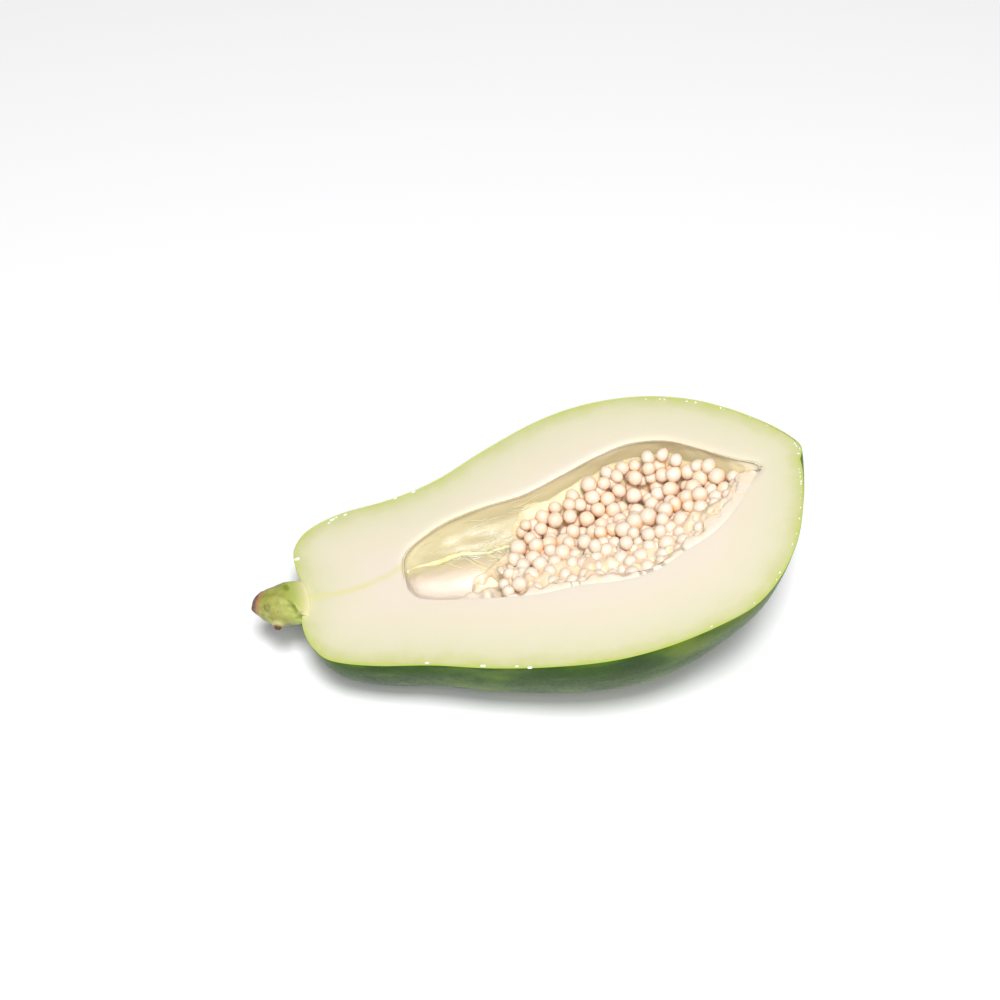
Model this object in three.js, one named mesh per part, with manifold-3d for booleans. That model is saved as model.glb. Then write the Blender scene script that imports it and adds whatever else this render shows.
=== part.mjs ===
// Half of a green papaya, cut lengthwise, lying on its skin with the cut face up.
// Millimetres, +Z up. The fruit is drawn along +X from the stalk joint to the blossom end,
// with the cut face in the plane z = 0 and +Y to the far side, and is then tipped into the
// pose in which it rests.

import * as THREE from 'three';
import { mergeVertices } from 'three/addons/utils/BufferGeometryUtils.js';
import Module from 'manifold-3d';

const wasm = await Module();
wasm.setup();

const { degToRad, lerp, smoothstep } = THREE.MathUtils;

// The two sides of the cut face's outline, from the stalk dimple to the blossom notch.
// Point n of one side and point n of the other are the two ends of one cross-section.
const SKIN_FAR = [
  [1.5, 0], [0.2, 9], [-1.2, 18], [-0.6, 27], [6, 34.4], [20, 38.2],
  [42, 38.2], [62, 41.4], [84, 49.8], [108, 57], [129, 58.5], [150, 54.8],
  [168, 47], [183, 36], [196, 22.8], [203.6, 12.2], [206, 5.5], [204, 0.2],
];
const SKIN_NEAR = [
  [1.5, 0], [-1.2, -7], [-1.4, -15], [1.6, -24.5], [8, -32.4], [24, -40],
  [46, -47.1], [68, -55.8], [90, -62.6], [112, -67.2], [132, -68], [152, -65.6],
  [170, -60.6], [183, -50.2], [193, -36], [199.5, -20], [203, -7.5], [204, 0.2],
];

// How deep a cross-section is for its half width, and how much its sides lean in
const DEPTH_AT_STALK = 1.15;
const DEPTH_LOSS_PER_MM = 0.00115;
const BLOSSOM_DEPTH_LOSS = 0.25;
const BLOSSOM_TAPER = [135, 200];
const BLOSSOM_LEAN = 0.5;
const LEAN_SPAN = [120, 185];

// Five carpels make five blunt ribs outside and five grooves in the seed cavity
const CARPELS = 5;
const RIB_ANGLE = degToRad(-54);
const RIB_HEIGHT = 0.012;
const GROOVE_ANGLE = degToRad(-86);
const GROOVE_AT_STALK = 0.14;
const GROOVE_AMONG_SEEDS = 0.07;
const GROOVE_SPAN = [60, 95];

// The mouth of the seed cavity on the cut face, given like the skin's outline
const CAVITY_FAR = [
  [42, -3.5], [43, 6], [49, 12.2], [62, 17.8], [78, 20.2], [95, 21],
  [112, 25.2], [128, 29.6], [142, 31.2], [156, 27.4], [168, 18.6], [179, 9.4],
  [186.2, 4.6], [188, 2],
];
const CAVITY_NEAR = [
  [42, -3.5], [42.6, -10], [47, -15.8], [60, -21], [76, -25.4], [92, -29],
  [108, -30.4], [124, -33.6], [138, -33.4], [150, -28.4], [163, -23.2], [174, -15],
  [183.4, -4], [188, 2],
];

// Touching pieces keep this much room between them
const GAP = 0.3;

// The seeds grow from a bed of soft white lining. BED is its top across a section of the
// cavity, in half widths: [to the far side, up]. On the near side it rises almost to the cut.
const BED = [
  [0.98, 0], [0.93, -0.14], [0.88, -0.3], [0.78, -0.46], [0.6, -0.6], [0.38, -0.65],
  [0.16, -0.6], [-0.01, -0.5], [-0.15, -0.38], [-0.36, -0.3], [-0.6, -0.27], [-0.8, -0.23],
  [-0.92, -0.13], [-0.98, 0],
];
const LINING_BELOW_CUT = 1;
const LINING_START_FAR = [90, 20];
const LINING_START_NEAR = [72, -26];
const SEED_RADIUS = [2.4, 3.4];
const SEED_LENGTH = 1.15;
const SEED_RANDOM_START = 20251;
// On the far side the wall above the seeds is bare near the stalk, and less so further on
const BARE_WALL = [4, 0];
const BARE_SPAN = [105, 130];
const BARE_ABOVE_Y = 8;
// Heights are in seed radii above the lining, and distances in sums of two seeds' radii:
// no seed comes nearer to another than nearest, and one in the second layer grows out of
// a seed of the first, within rooted of it.
const SEED_LAYERS = [
  { heights: [0.5, 0.9], startX: 0, tries: 18000, nearest: 0.88, rooted: Infinity },
  { heights: [1.6, 2.2], startX: 85, tries: 14000, nearest: 0.84, rooted: 0.93 },
];

// The stalk stub, whole and not halved: [distance along it, radius], a bend and a side scar
const STALK_PROFILE = [
  [-21.2, 0], [-20.3, 3], [-17, 6.4], [-11.5, 7.9], [-5, 8.4], [0, 9.2], [5, 9.2], [7, 0],
];
const STALK_BEND = 2.6;
const STALK_LENGTH = 21.2;
const STALK_FLUTES = 3;
const STALK_FLUTE_HEIGHT = 0.05;
const STALK_TEAR = { at: -0.5, slope: degToRad(-16) };
const SCAR_PLACE = [-12.3, -4.6, -4.8];
const SCAR_RADIUS = 3.2;

// The half fruit rests on a small flat spot under its belly, with the blossom end raised.
// REST_PLACE is where the stalk joint then lies, measured from the middle of the footprint.
const REST_PITCH = degToRad(12.9);
const REST_PLACE = [-90.1, 4.8, 36.9];

const SKIN_SIDES = 44;
const SKIN_RINGS = 34;
const CAVITY_SIDES = 36;
const CAVITY_RINGS = 26;
const BED_SIDES = 28;
const BED_RINGS = 18;
const STALK_SIDES = 20;
const STALK_RINGS = 14;
const TOOL_SIZE = 600;
const NORMAL_STEP = 1e-3;

const resting = new THREE.Matrix4()
  .makeRotationY(-REST_PITCH)
  .setPosition(...REST_PLACE);

function sideCurve(points) {
  return new THREE.SplineCurve(points.map(([x, y]) => new THREE.Vector2(x, y)));
}

const skinFar = sideCurve(SKIN_FAR);
const skinNear = sideCurve(SKIN_NEAR);
const cavityFar = sideCurve(CAVITY_FAR);
const cavityNear = sideCurve(CAVITY_NEAR);
const bed = sideCurve(BED);
const stalkProfile = sideCurve(STALK_PROFILE);

// The point at angle phi of the cross-section between the far and the near side at t.
// phi is 0 on the far side, -90 degrees at the bottom and -180 degrees on the near side.
// section gives that point in half widths.
function sectionPoint(far, near, t, phi, section) {
  const farEnd = far.getPoint(t);
  const nearEnd = near.getPoint(t);
  const middle = farEnd.clone().add(nearEnd).multiplyScalar(0.5);
  const arm = farEnd.sub(nearEnd).multiplyScalar(0.5);
  const [across, up] = section(middle.x, phi);
  return new THREE.Vector3(
    middle.x + arm.x * across,
    middle.y + arm.y * across,
    arm.length() * up,
  );
}

function skinSection(x, phi) {
  const swell = 1 + RIB_HEIGHT * Math.cos(CARPELS * (phi - RIB_ANGLE));
  const depth = DEPTH_AT_STALK - DEPTH_LOSS_PER_MM * x
    - BLOSSOM_DEPTH_LOSS * smoothstep(x, ...BLOSSOM_TAPER);
  const lean = 1 + BLOSSOM_LEAN * smoothstep(x, ...LEAN_SPAN);
  const up = Math.sign(Math.sin(phi)) * Math.abs(Math.sin(phi)) ** lean;
  return [swell * Math.cos(phi), swell * depth * up];
}

function cavitySection(x, phi) {
  const groove = lerp(GROOVE_AT_STALK, GROOVE_AMONG_SEEDS, smoothstep(x, ...GROOVE_SPAN));
  const swell = 1 + groove * Math.cos(CARPELS * (phi - GROOVE_ANGLE));
  return [swell * Math.cos(phi), swell * Math.sin(phi)];
}

// The bed, and its mirror image above the cut, which closes it
function bedSection(x, phi) {
  const turn = Math.abs(phi / Math.PI) % 2;
  const { x: across, y: up } = bed.getPoint(turn > 1 ? 2 - turn : turn);
  return [across, turn > 1 ? -up : up];
}

const skinPoint = (t, phi) => sectionPoint(skinFar, skinNear, t, phi, skinSection);
const cavityPoint = (t, phi) => sectionPoint(cavityFar, cavityNear, t, phi, cavitySection);
const bedPoint = (t, phi) => sectionPoint(cavityFar, cavityNear, t, phi, bedSection);

// The direction into the body at a point of such a surface
function inwardAt(point, t, phi) {
  if (t < NORMAL_STEP) return new THREE.Vector3(1, 0, 0);
  if (t > 1 - NORMAL_STEP) return new THREE.Vector3(-1, 0, 0);
  const along = point(t + NORMAL_STEP / 2, phi).sub(point(t - NORMAL_STEP / 2, phi));
  const around = point(t, phi + NORMAL_STEP).sub(point(t, phi - NORMAL_STEP));
  return along.cross(around).normalize();
}

// The same surface, moved inwards by a distance
function inset(point, distance) {
  return (t, phi) => point(t, phi).addScaledVector(inwardAt(point, t, phi), distance);
}

// Solids are closed meshes with merged corners
function solidOf(geometry) {
  const bare = geometry.clone();
  bare.deleteAttribute('normal');
  bare.deleteAttribute('uv');
  const merged = mergeVertices(bare);
  return new wasm.Manifold(new wasm.Mesh({
    numProp: 3,
    vertProperties: new Float32Array(merged.attributes.position.array),
    triVerts: new Uint32Array(merged.index.array),
  }));
}

function geometryOf(solid) {
  const mesh = solid.getMesh();
  const geometry = new THREE.BufferGeometry();
  geometry.setAttribute('position', new THREE.BufferAttribute(mesh.vertProperties, 3));
  geometry.setIndex(new THREE.BufferAttribute(mesh.triVerts, 1));
  geometry.computeVertexNormals();
  return geometry;
}

// A sphere's grid with each corner moved to point(t, phi): t runs along it, phi once round
function wrap(point, sides, rings) {
  const geometry = new THREE.SphereGeometry(1, sides, rings);
  const { position, uv } = geometry.attributes;
  for (let i = 0; i < position.count; i += 1) {
    const corner = point(1 - uv.getY(i), -2 * Math.PI * uv.getX(i));
    position.setXYZ(i, corner.x, corner.y, corner.z);
  }
  return solidOf(geometry);
}

// Everything above the plane through z = height, turned by an angle about Y if one is given
function above(height, x = 0, turn = 0) {
  const box = new THREE.BoxGeometry(TOOL_SIZE, TOOL_SIZE, TOOL_SIZE);
  box.translate(0, 0, TOOL_SIZE / 2).rotateY(turn).translate(x, 0, height);
  return solidOf(box);
}

// Everything on the stalk's side of an upright plane through two points of the cut face
function before([farX, farY], [nearX, nearY]) {
  const box = new THREE.BoxGeometry(TOOL_SIZE, TOOL_SIZE, TOOL_SIZE);
  const turn = Math.atan2(farY - nearY, farX - nearX) - Math.PI / 2;
  box.translate(-TOOL_SIZE / 2, 0, 0).rotateZ(turn).translate(nearX, nearY, 0);
  return solidOf(box);
}

const placed = (solid) => solidOf(geometryOf(solid).applyMatrix4(resting));

// Skin and flesh grew as one piece, with the seed cavity open on the cut face
function makeHalfFruit() {
  const outside = wrap(skinPoint, SKIN_SIDES, SKIN_RINGS);
  const cavity = wrap(cavityPoint, CAVITY_SIDES, CAVITY_RINGS);
  const half = outside.subtract(cavity).subtract(above(0));
  const belowFloor = solidOf(new THREE.BoxGeometry(TOOL_SIZE, TOOL_SIZE, TOOL_SIZE)
    .translate(0, 0, -TOOL_SIZE / 2));
  return placed(half).subtract(belowFloor);
}

// The same draws every time, so the seeds always lie in the same places
function seededRandom(start) {
  let state = start;
  return () => {
    state = (state + 0x6d2b79f5) | 0;
    let mixed = Math.imul(state ^ (state >>> 15), 1 | state);
    mixed = (mixed + Math.imul(mixed ^ (mixed >>> 7), 61 | mixed)) ^ mixed;
    return ((mixed ^ (mixed >>> 14)) >>> 0) / 2 ** 32;
  };
}

// Where the seeds may start: a slanted line across the cavity
function seedsStartAt(y) {
  const [farX, farY] = LINING_START_FAR;
  const [nearX, nearY] = LINING_START_NEAR;
  return lerp(nearX, farX, (y - nearY) / (farY - nearY));
}

// How far below the cut the tops of the seeds stay
function seedsBelowCut({ x, y }) {
  const bare = y > BARE_ABOVE_Y ? lerp(...BARE_WALL, smoothstep(x, ...BARE_SPAN)) : 0;
  return LINING_BELOW_CUT + bare;
}

// Seeds are dropped on the bed at random and stay where there is room for them
function addSeeds(seeds, random, layer) {
  for (let i = 0; i < layer.tries; i += 1) {
    const t = random();
    const phi = -Math.PI * random();
    const radius = lerp(...SEED_RADIUS, random());
    const height = radius * lerp(...layer.heights, random());
    const inward = inwardAt(bedPoint, t, phi);
    const centre = bedPoint(t, phi).addScaledVector(inward, height);
    const reach = seeds.reduce((least, seed) => (
      Math.min(least, seed.centre.distanceTo(centre) / (seed.radius + radius))), Infinity);
    const clear = centre.x > Math.max(layer.startX, seedsStartAt(centre.y) + radius)
      && centre.z < -seedsBelowCut(centre) - radius * SEED_LENGTH;
    if (clear && reach > layer.nearest && reach <= layer.rooted) {
      seeds.push({ centre, inward, radius });
    }
  }
}

function seedSolid({ centre, inward, radius }) {
  const bead = new THREE.IcosahedronGeometry(radius, 0);
  const turn = new THREE.Quaternion()
    .setFromUnitVectors(new THREE.Vector3(0, 1, 0), inward);
  bead.scale(1, SEED_LENGTH, 1).applyQuaternion(turn);
  bead.translate(centre.x, centre.y, centre.z);
  return solidOf(bead);
}

// Lining and seeds hold together as one body: loose scraps and sealed hollows are dropped
function makeSeeds() {
  const back = wrap(inset(cavityPoint, GAP), CAVITY_SIDES, CAVITY_RINGS);
  const lining = back.subtract(wrap(bedPoint, BED_SIDES, BED_RINGS))
    .subtract(before(LINING_START_FAR, LINING_START_NEAR));
  const seeds = [];
  const random = seededRandom(SEED_RANDOM_START);
  SEED_LAYERS.forEach((layer) => addSeeds(seeds, random, layer));
  const beads = wasm.Manifold.union(seeds.map(seedSolid)).intersect(back);
  const body = lining.add(beads).subtract(above(-LINING_BELOW_CUT));
  const pieces = body.decompose().sort((a, b) => b.volume() - a.volume());
  return placed(pieces[0]);
}

function stalkPoint(t, phi) {
  const { x, y: radius } = stalkProfile.getPoint(t);
  const flute = 1 + STALK_FLUTE_HEIGHT * Math.cos(STALK_FLUTES * phi);
  const bend = STALK_BEND * (Math.min(x, 0) / STALK_LENGTH) ** 2;
  return new THREE.Vector3(
    x,
    bend + radius * flute * Math.cos(phi),
    radius * flute * Math.sin(phi),
  );
}

// The stub meets the skin of the dimple, and is torn off where the other half was
function makeStalk() {
  const scar = new THREE.IcosahedronGeometry(SCAR_RADIUS, 1).translate(...SCAR_PLACE);
  const stub = wrap(stalkPoint, STALK_SIDES, STALK_RINGS).add(solidOf(scar));
  const fruit = wrap(inset(skinPoint, -GAP), SKIN_SIDES, SKIN_RINGS);
  const tear = above(0, STALK_TEAR.at, Math.PI / 2 + STALK_TEAR.slope)
    .subtract(solidOf(new THREE.BoxGeometry(TOOL_SIZE, TOOL_SIZE, TOOL_SIZE)
      .translate(0, 0, -TOOL_SIZE / 2)));
  return placed(stub.subtract(fruit).subtract(tear));
}

function addMesh(group, name, solid, colour, roughness) {
  const material = new THREE.MeshStandardMaterial({ color: colour, roughness, metalness: 0 });
  const mesh = new THREE.Mesh(geometryOf(solid), material);
  mesh.name = name;
  group.add(mesh);
}

const papaya = new THREE.Group();
addMesh(papaya, 'half_fruit', makeHalfFruit(), 0xe9e6b4, 0.5);
addMesh(papaya, 'seeds', makeSeeds(), 0xf6e3cf, 0.4);
addMesh(papaya, 'stalk', makeStalk(), 0x9bab4e, 0.7);

export default papaya;
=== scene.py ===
# The look of the papaya half: skin, flesh, seeds, lining with its sacs, strands, latex and stalk,
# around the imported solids. Points are worked out in millimetres in the fruit's own frame, with
# +X from the stalk joint to the blossom end and the cut face at z = 0, and are then laid down
# in the pose in which the fruit rests, in metres.

from math import cos, pi, radians, sin

import bmesh
import bpy
import numpy as np
from mathutils import Matrix, Vector
from mathutils.geometry import delaunay_2d_cdt


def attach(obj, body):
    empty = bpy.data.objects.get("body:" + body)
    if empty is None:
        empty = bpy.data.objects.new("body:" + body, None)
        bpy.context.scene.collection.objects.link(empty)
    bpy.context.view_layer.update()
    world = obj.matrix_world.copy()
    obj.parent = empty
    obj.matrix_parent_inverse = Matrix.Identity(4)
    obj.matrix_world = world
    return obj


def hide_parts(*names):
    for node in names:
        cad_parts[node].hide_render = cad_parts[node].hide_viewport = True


MM = 0.001
TINY = 1e-12
FAR_AWAY = 1e9

# The two sides of the cut face's outline, from the stalk dimple to the blossom notch
SKIN_FAR = [
    [1.5, 0], [0.2, 9], [-1.2, 18], [-0.6, 27], [6, 34.4], [20, 38.2],
    [42, 38.2], [62, 41.4], [84, 49.8], [108, 57], [129, 58.5], [150, 54.8],
    [168, 47], [183, 36], [196, 22.8], [203.6, 12.2], [206, 5.5], [204, 0.2],
]
SKIN_NEAR = [
    [1.5, 0], [-1.2, -7], [-1.4, -15], [1.6, -24.5], [8, -32.4], [24, -40],
    [46, -47.1], [68, -55.8], [90, -62.6], [112, -67.2], [132, -68], [152, -65.6],
    [170, -60.6], [183, -50.2], [193, -36], [199.5, -20], [203, -7.5], [204, 0.2],
]
DEPTH_AT_STALK = 1.15
DEPTH_LOSS_PER_MM = 0.00115
BLOSSOM_DEPTH_LOSS = 0.25
BLOSSOM_TAPER = (135, 200)
BLOSSOM_LEAN = 0.5
LEAN_SPAN = (120, 185)
CARPELS = 5
RIB_ANGLE = radians(-54)
RIB_HEIGHT = 0.012

# The mouth of the seed cavity on the cut face
CAVITY_FAR = [
    [42, -3.5], [43, 6], [49, 12.2], [62, 17.8], [78, 20.2], [95, 21],
    [112, 25.2], [128, 29.6], [142, 31.2], [156, 27.4], [168, 18.6], [179, 9.4],
    [186.2, 4.6], [188, 2],
]
CAVITY_NEAR = [
    [42, -3.5], [42.6, -10], [47, -15.8], [60, -21], [76, -25.4], [92, -29],
    [108, -30.4], [124, -33.6], [138, -33.4], [150, -28.4], [163, -23.2], [174, -15],
    [183.4, -4], [188, 2],
]
GROOVE_ANGLE = radians(-86)
GROOVE_AT_STALK = 0.14
GROOVE_AMONG_SEEDS = 0.07
GROOVE_SPAN = (60, 95)

# The top of the bed of lining across a section of the cavity, in half widths
BED = [
    [0.98, 0], [0.93, -0.14], [0.88, -0.3], [0.78, -0.46], [0.6, -0.6], [0.38, -0.65],
    [0.16, -0.6], [-0.01, -0.5], [-0.15, -0.38], [-0.36, -0.3], [-0.6, -0.27], [-0.8, -0.23],
    [-0.92, -0.13], [-0.98, 0],
]
BED_STEPS_PER_KNOT = 6

# The seeds, placed by the same rule and the same random draws as the solid ones: how far below
# the cut they stay, with more at the bare far wall, the line across the cavity where the lining
# starts, and their sizes and layers
LINING_BELOW_CUT = 1
BARE_WALL = (4, 0)
BARE_SPAN = (105, 130)
BARE_ABOVE_Y = 8
LINING_START_FAR = (90, 20)
LINING_START_NEAR = (72, -26)
SEED_RADIUS = (2.4, 3.4)
SEED_LENGTH = 1.15
SEED_RANDOM_START = 20251
SEED_LAYERS = [
    {"heights": (0.5, 0.9), "start_x": 0, "tries": 18000, "nearest": 0.88, "rooted": FAR_AWAY},
    {"heights": (1.6, 2.2), "start_x": 85, "tries": 14000, "nearest": 0.84, "rooted": 0.93},
]

# The stub: x, the middle of the section across the fruit, and its radius
STALK_LINE = [
    [-21.2, 2.9, 0], [-20.8, 2.95, 1], [-19.3, 3.2, 3.2], [-16.7, 2.5, 5.8], [-12.2, 1.2, 7.6],
    [-6.8, 0.6, 8.5], [0, 0.35, 8.8], [3.5, 0.3, 8.6], [4.5, 0.3, 0],
]
STALK_FLUTES = 3
STALK_FLUTE_HEIGHT = 0.025

# The stub slopes down to the cut face, over this span of x on its middle line
SHOULDER_SPAN = (-7, 3.4)
SHOULDER_ROUNDING = 1.8
SHOULDER_HEIGHT = 8.9

# Marks on the stub: a knob and the way it points, the middles of a ring-shaped scar and of a dent,
# a groove, small scars with their sizes, and the way the cut tip faces
KNOB_PLACE = np.array([-11.6, -6.6, -1.2])
KNOB_WAY = np.array([-0.25, -0.85, -0.4])
RING_SCAR = np.array([-13.6, -2.8, 5.5])
STALK_DENT = np.array([-4.4, 3.4, 7.4])
STALK_GROOVE = np.array([
    [-3.2, -4.6, 6.4], [-2.6, -6.4, 5], [-1.8, -7.9, 2.8], [-1.4, -8.7, 0],
])
STALK_MARKS = [((-16.5, -3.1, 2), 0.8), ((-16.1, -3.7, -0.4), 0.7), ((-9.5, -5.6, 5), 0.4)]
STALK_END_WAY = np.array([-0.85, 0.45, 0.25])
STALK_ROWS = 150
STALK_SIDES = 110

REST_PITCH = radians(12.9)
REST_PLACE = np.array([-90.1, 4.8, 36.9])

NORMAL_STEP = 1e-3
SKIN_THICKNESS = 0.5
SKIN_STEPS_PER_KNOT = 10
SKIN_SIDES = 88
WALL_STEPS_PER_KNOT = 10
WALL_SIDES = 72
NOISE_ROUGHNESS = 0.55


def resting(points):
    """Points in the fruit's own frame, in millimetres, to where they rest, in metres"""
    x, y, z = np.moveaxis(np.asarray(points, float), -1, 0)
    laid = np.stack([
        x * cos(REST_PITCH) - z * sin(REST_PITCH),
        y,
        x * sin(REST_PITCH) + z * cos(REST_PITCH),
    ], -1)
    return (laid + REST_PLACE) * MM


def smoothstep(value, low, high):
    share = np.clip((value - low) / (high - low), 0, 1)
    return share * share * (3 - 2 * share)


def bump_at(points, centre, size):
    """1 at a centre and falling to 0 at a few times size from it"""
    away = (np.asarray(points) - np.asarray(centre)) / size
    return np.exp(-0.5 * (away ** 2).sum(-1))


def ripples(points, size, seed, waves=28):
    """Smooth random heights, mostly from -1 to 1, with bumps about size across"""
    draw = np.random.default_rng(seed)
    directions = draw.normal(size=(waves, 3))
    directions /= np.linalg.norm(directions, axis=1)[:, None]
    lengths = np.asarray(size) * draw.uniform(0.7, 1.8, waves) * 2
    phases = draw.uniform(0, 2 * pi, waves)
    angles = points @ (directions * 2 * pi / lengths[:, None]).T + phases
    return np.sin(angles).sum(-1) / (0.5 * waves) ** 0.5 / 1.6


def side_point(knots, t):
    """The smooth curve through the points of one side, as in the solids"""
    knots = np.asarray(knots, float)
    last = len(knots) - 1
    place = last * np.asarray(t, float)
    first = np.clip(np.floor(place).astype(int), 0, last - 1)
    s = (place - first)[..., None]
    before, start, end, after = (knots[np.clip(first + k, 0, last)] for k in (-1, 0, 1, 2))
    leave = (end - before) / 2
    arrive = (after - start) / 2
    cubic = 2 * start - 2 * end + leave + arrive
    square = -3 * start + 3 * end - 2 * leave - arrive
    return ((cubic * s + square) * s + leave) * s + start


def section_point(far, near, t, phi, section):
    """The point at angle phi of the cross-section between the two sides at t"""
    far_end = side_point(far, t)
    near_end = side_point(near, t)
    middle = (far_end + near_end) / 2
    arm = (far_end - near_end) / 2
    across, up = section(middle[..., 0], phi)
    flat = middle + arm * across[..., None]
    return np.concatenate([flat, (np.linalg.norm(arm, axis=-1) * up)[..., None]], -1)


def skin_section(x, phi):
    swell = 1 + RIB_HEIGHT * np.cos(CARPELS * (phi - RIB_ANGLE))
    taper = BLOSSOM_DEPTH_LOSS * smoothstep(x, *BLOSSOM_TAPER)
    depth = DEPTH_AT_STALK - DEPTH_LOSS_PER_MM * x - taper
    lean = 1 + BLOSSOM_LEAN * smoothstep(x, *LEAN_SPAN)
    up = np.sign(np.sin(phi)) * np.abs(np.sin(phi)) ** lean
    return swell * np.cos(phi), swell * depth * up


def cavity_section(x, phi):
    among = smoothstep(x, *GROOVE_SPAN)
    groove = GROOVE_AT_STALK + (GROOVE_AMONG_SEEDS - GROOVE_AT_STALK) * among
    swell = 1 + groove * np.cos(CARPELS * (phi - GROOVE_ANGLE))
    return swell * np.cos(phi), swell * np.sin(phi)


def bed_section(x, phi):
    turn = np.abs(phi) / pi
    point = side_point(BED, np.where(turn > 1, 2 - turn, turn))
    return point[..., 0], np.where(turn > 1, -1, 1) * point[..., 1]


def skin_point(t, phi):
    return section_point(SKIN_FAR, SKIN_NEAR, t, phi, skin_section)


def cavity_point(t, phi):
    return section_point(CAVITY_FAR, CAVITY_NEAR, t, phi, cavity_section)


def bed_point(t, phi):
    return section_point(CAVITY_FAR, CAVITY_NEAR, t, phi, bed_section)


def inward_at(point, t, phi):
    """The direction into the body at a point of such a surface"""
    along = point(t + NORMAL_STEP / 2, phi) - point(t - NORMAL_STEP / 2, phi)
    around = point(t, phi + NORMAL_STEP) - point(t, phi - NORMAL_STEP)
    inward = np.cross(along, around)
    inward /= np.linalg.norm(inward, axis=-1)[..., None] + TINY
    inward[t < NORMAL_STEP] = (1, 0, 0)
    inward[t > 1 - NORMAL_STEP] = (-1, 0, 0)
    return inward


def surface_grid(knots, steps_per_knot, sides):
    """t and phi over the lower half of such a surface, from the far rim to the near rim"""
    t = np.linspace(0, 1, (len(knots) - 1) * steps_per_knot + 1)
    phi = np.linspace(0, -pi, sides + 1)
    return np.meshgrid(t, phi, indexing="ij")


def grid_faces(rows, columns, start=0):
    """Quads over a grid of corners, in rows"""
    i, j = np.meshgrid(np.arange(rows - 1), np.arange(columns - 1), indexing="ij")
    a = (start + i * columns + j).ravel()
    return np.stack([a, a + 1, a + columns + 1, a + columns], 1)


def ring_faces(rows, sides):
    """Quads over rows of corners that each close to a ring"""
    i, j = np.meshgrid(np.arange(rows - 1), np.arange(sides), indexing="ij")
    a = (i * sides + j).ravel()
    b = (i * sides + (j + 1) % sides).ravel()
    return np.stack([a, b, b + sides, a + sides], 1)


def turned_body(wide, high, sides):
    """Rings of corners around the z axis, one for each half width and height"""
    turn = np.linspace(0, 2 * pi, sides, endpoint=False)[None]
    return np.stack([wide * np.cos(turn), wide * np.sin(turn), high + 0 * turn], -1)


def square_axes(axis, draw):
    """Three unit directions, square to each other, the last of them along the axis"""
    axis = axis / np.linalg.norm(axis)
    side = np.cross(axis, draw.normal(size=3))
    side /= np.linalg.norm(side)
    return np.stack([side, np.cross(axis, side), axis])


def uneven(points, centre, share, size, seed):
    """Points pushed out from a centre, or in, by random shares of their distance from it"""
    return points + (points - centre) * (share * ripples(points, size, seed, 10))[:, None]


def joined_parts(parts):
    """Several (points, faces) as one"""
    points = []
    faces = []
    count = 0
    for part_points, part_faces in parts:
        points.append(part_points)
        faces += [tuple(int(k) + count for k in face) for face in part_faces]
        count += len(part_points)
    return np.concatenate(points), faces


def new_piece(name, points, faces, node, values=None, crease=None):
    """A mesh of points in the fruit's frame. values are numbers kept at its corners. Edges
    that bend more than crease stay sharp."""
    mesh = bpy.data.meshes.new(name)
    mesh.from_pydata(resting(points).tolist(), [], [tuple(int(k) for k in f) for f in faces])
    for key, data in {"fruit": points, **(values or {})}.items():
        kind, field = ("FLOAT", "value") if np.ndim(data) < 2 else ("FLOAT_VECTOR", "vector")
        if np.ndim(data) == 0:
            data = np.full(len(points), data)
        layer = mesh.attributes.new(key, kind, "POINT")
        layer.data.foreach_set(field, np.asarray(data, np.float32).ravel())
    joined = bmesh.new()
    joined.from_mesh(mesh)
    bmesh.ops.remove_doubles(joined, verts=joined.verts, dist=1e-7)
    bmesh.ops.dissolve_degenerate(joined, edges=joined.edges, dist=1e-8)
    bmesh.ops.recalc_face_normals(joined, faces=joined.faces)
    joined.to_mesh(mesh)
    joined.free()
    mesh.shade_smooth()
    if crease:
        mesh.set_sharp_from_angle(angle=crease)
    piece = bpy.data.objects.new(name, mesh)
    bpy.context.scene.collection.objects.link(piece)
    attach(piece, "root")
    if node:
        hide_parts(node)
    return piece


def new_material(name, **settings):
    """A material and its main shader, with the shader's plain settings"""
    material = bpy.data.materials.new(name)
    material.use_nodes = True
    shader = material.node_tree.nodes["Principled BSDF"]
    for key, value in settings.items():
        shader.inputs[key.replace("_", " ")].default_value = value
    return material


def add_node(material, kind, sockets=None, **settings):
    """A shader node. sockets gives each input's value, or the output or the mesh's named values
    that feed it."""
    node = material.node_tree.nodes.new(kind)
    for key, value in settings.items():
        setattr(node, key, value)
    for key, value in (sockets or {}).items():
        if isinstance(value, str):
            value = attribute(material, value)
        if isinstance(value, bpy.types.NodeSocket):
            material.node_tree.links.new(value, node.inputs[key])
        else:
            node.inputs[key].default_value = value
    return node


def feed(material, socket, output):
    """Links an output to an input of the main shader"""
    shader = material.node_tree.nodes["Principled BSDF"]
    material.node_tree.links.new(output, shader.inputs[socket])


def attribute(material, name, output="Fac"):
    """The values that a mesh keeps by this name"""
    return add_node(material, "ShaderNodeAttribute", attribute_name=name).outputs[output]


def screen_colour(colour):
    """A colour given as it shows on a screen, from 0 to 255, for a shader"""
    shares = [value / 255 for value in colour]
    linear = [s / 12.92 if s <= 0.04045 else ((s + 0.055) / 1.055) ** 2.4 for s in shares]
    return (*linear, 1)


def ramp(material, factor, stops):
    """A colour for each value of the factor. stops gives the screen colours at some values."""
    node = add_node(material, "ShaderNodeValToRGB", {"Fac": factor})
    elements = node.color_ramp.elements
    while len(elements) < len(stops):
        elements.new(0.5)
    for element, (place, colour) in zip(elements, stops.items()):
        element.position = place
        element.color = screen_colour(colour)
    return node.outputs["Color"]


def map_range(material, value, low, high, to_low=0.0, to_high=1.0):
    node = add_node(material, "ShaderNodeMapRange", {
        "Value": value, "From Min": low, "From Max": high,
        "To Min": to_low, "To Max": to_high,
    }, interpolation_type="SMOOTHSTEP")
    return node.outputs["Result"]


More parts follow.
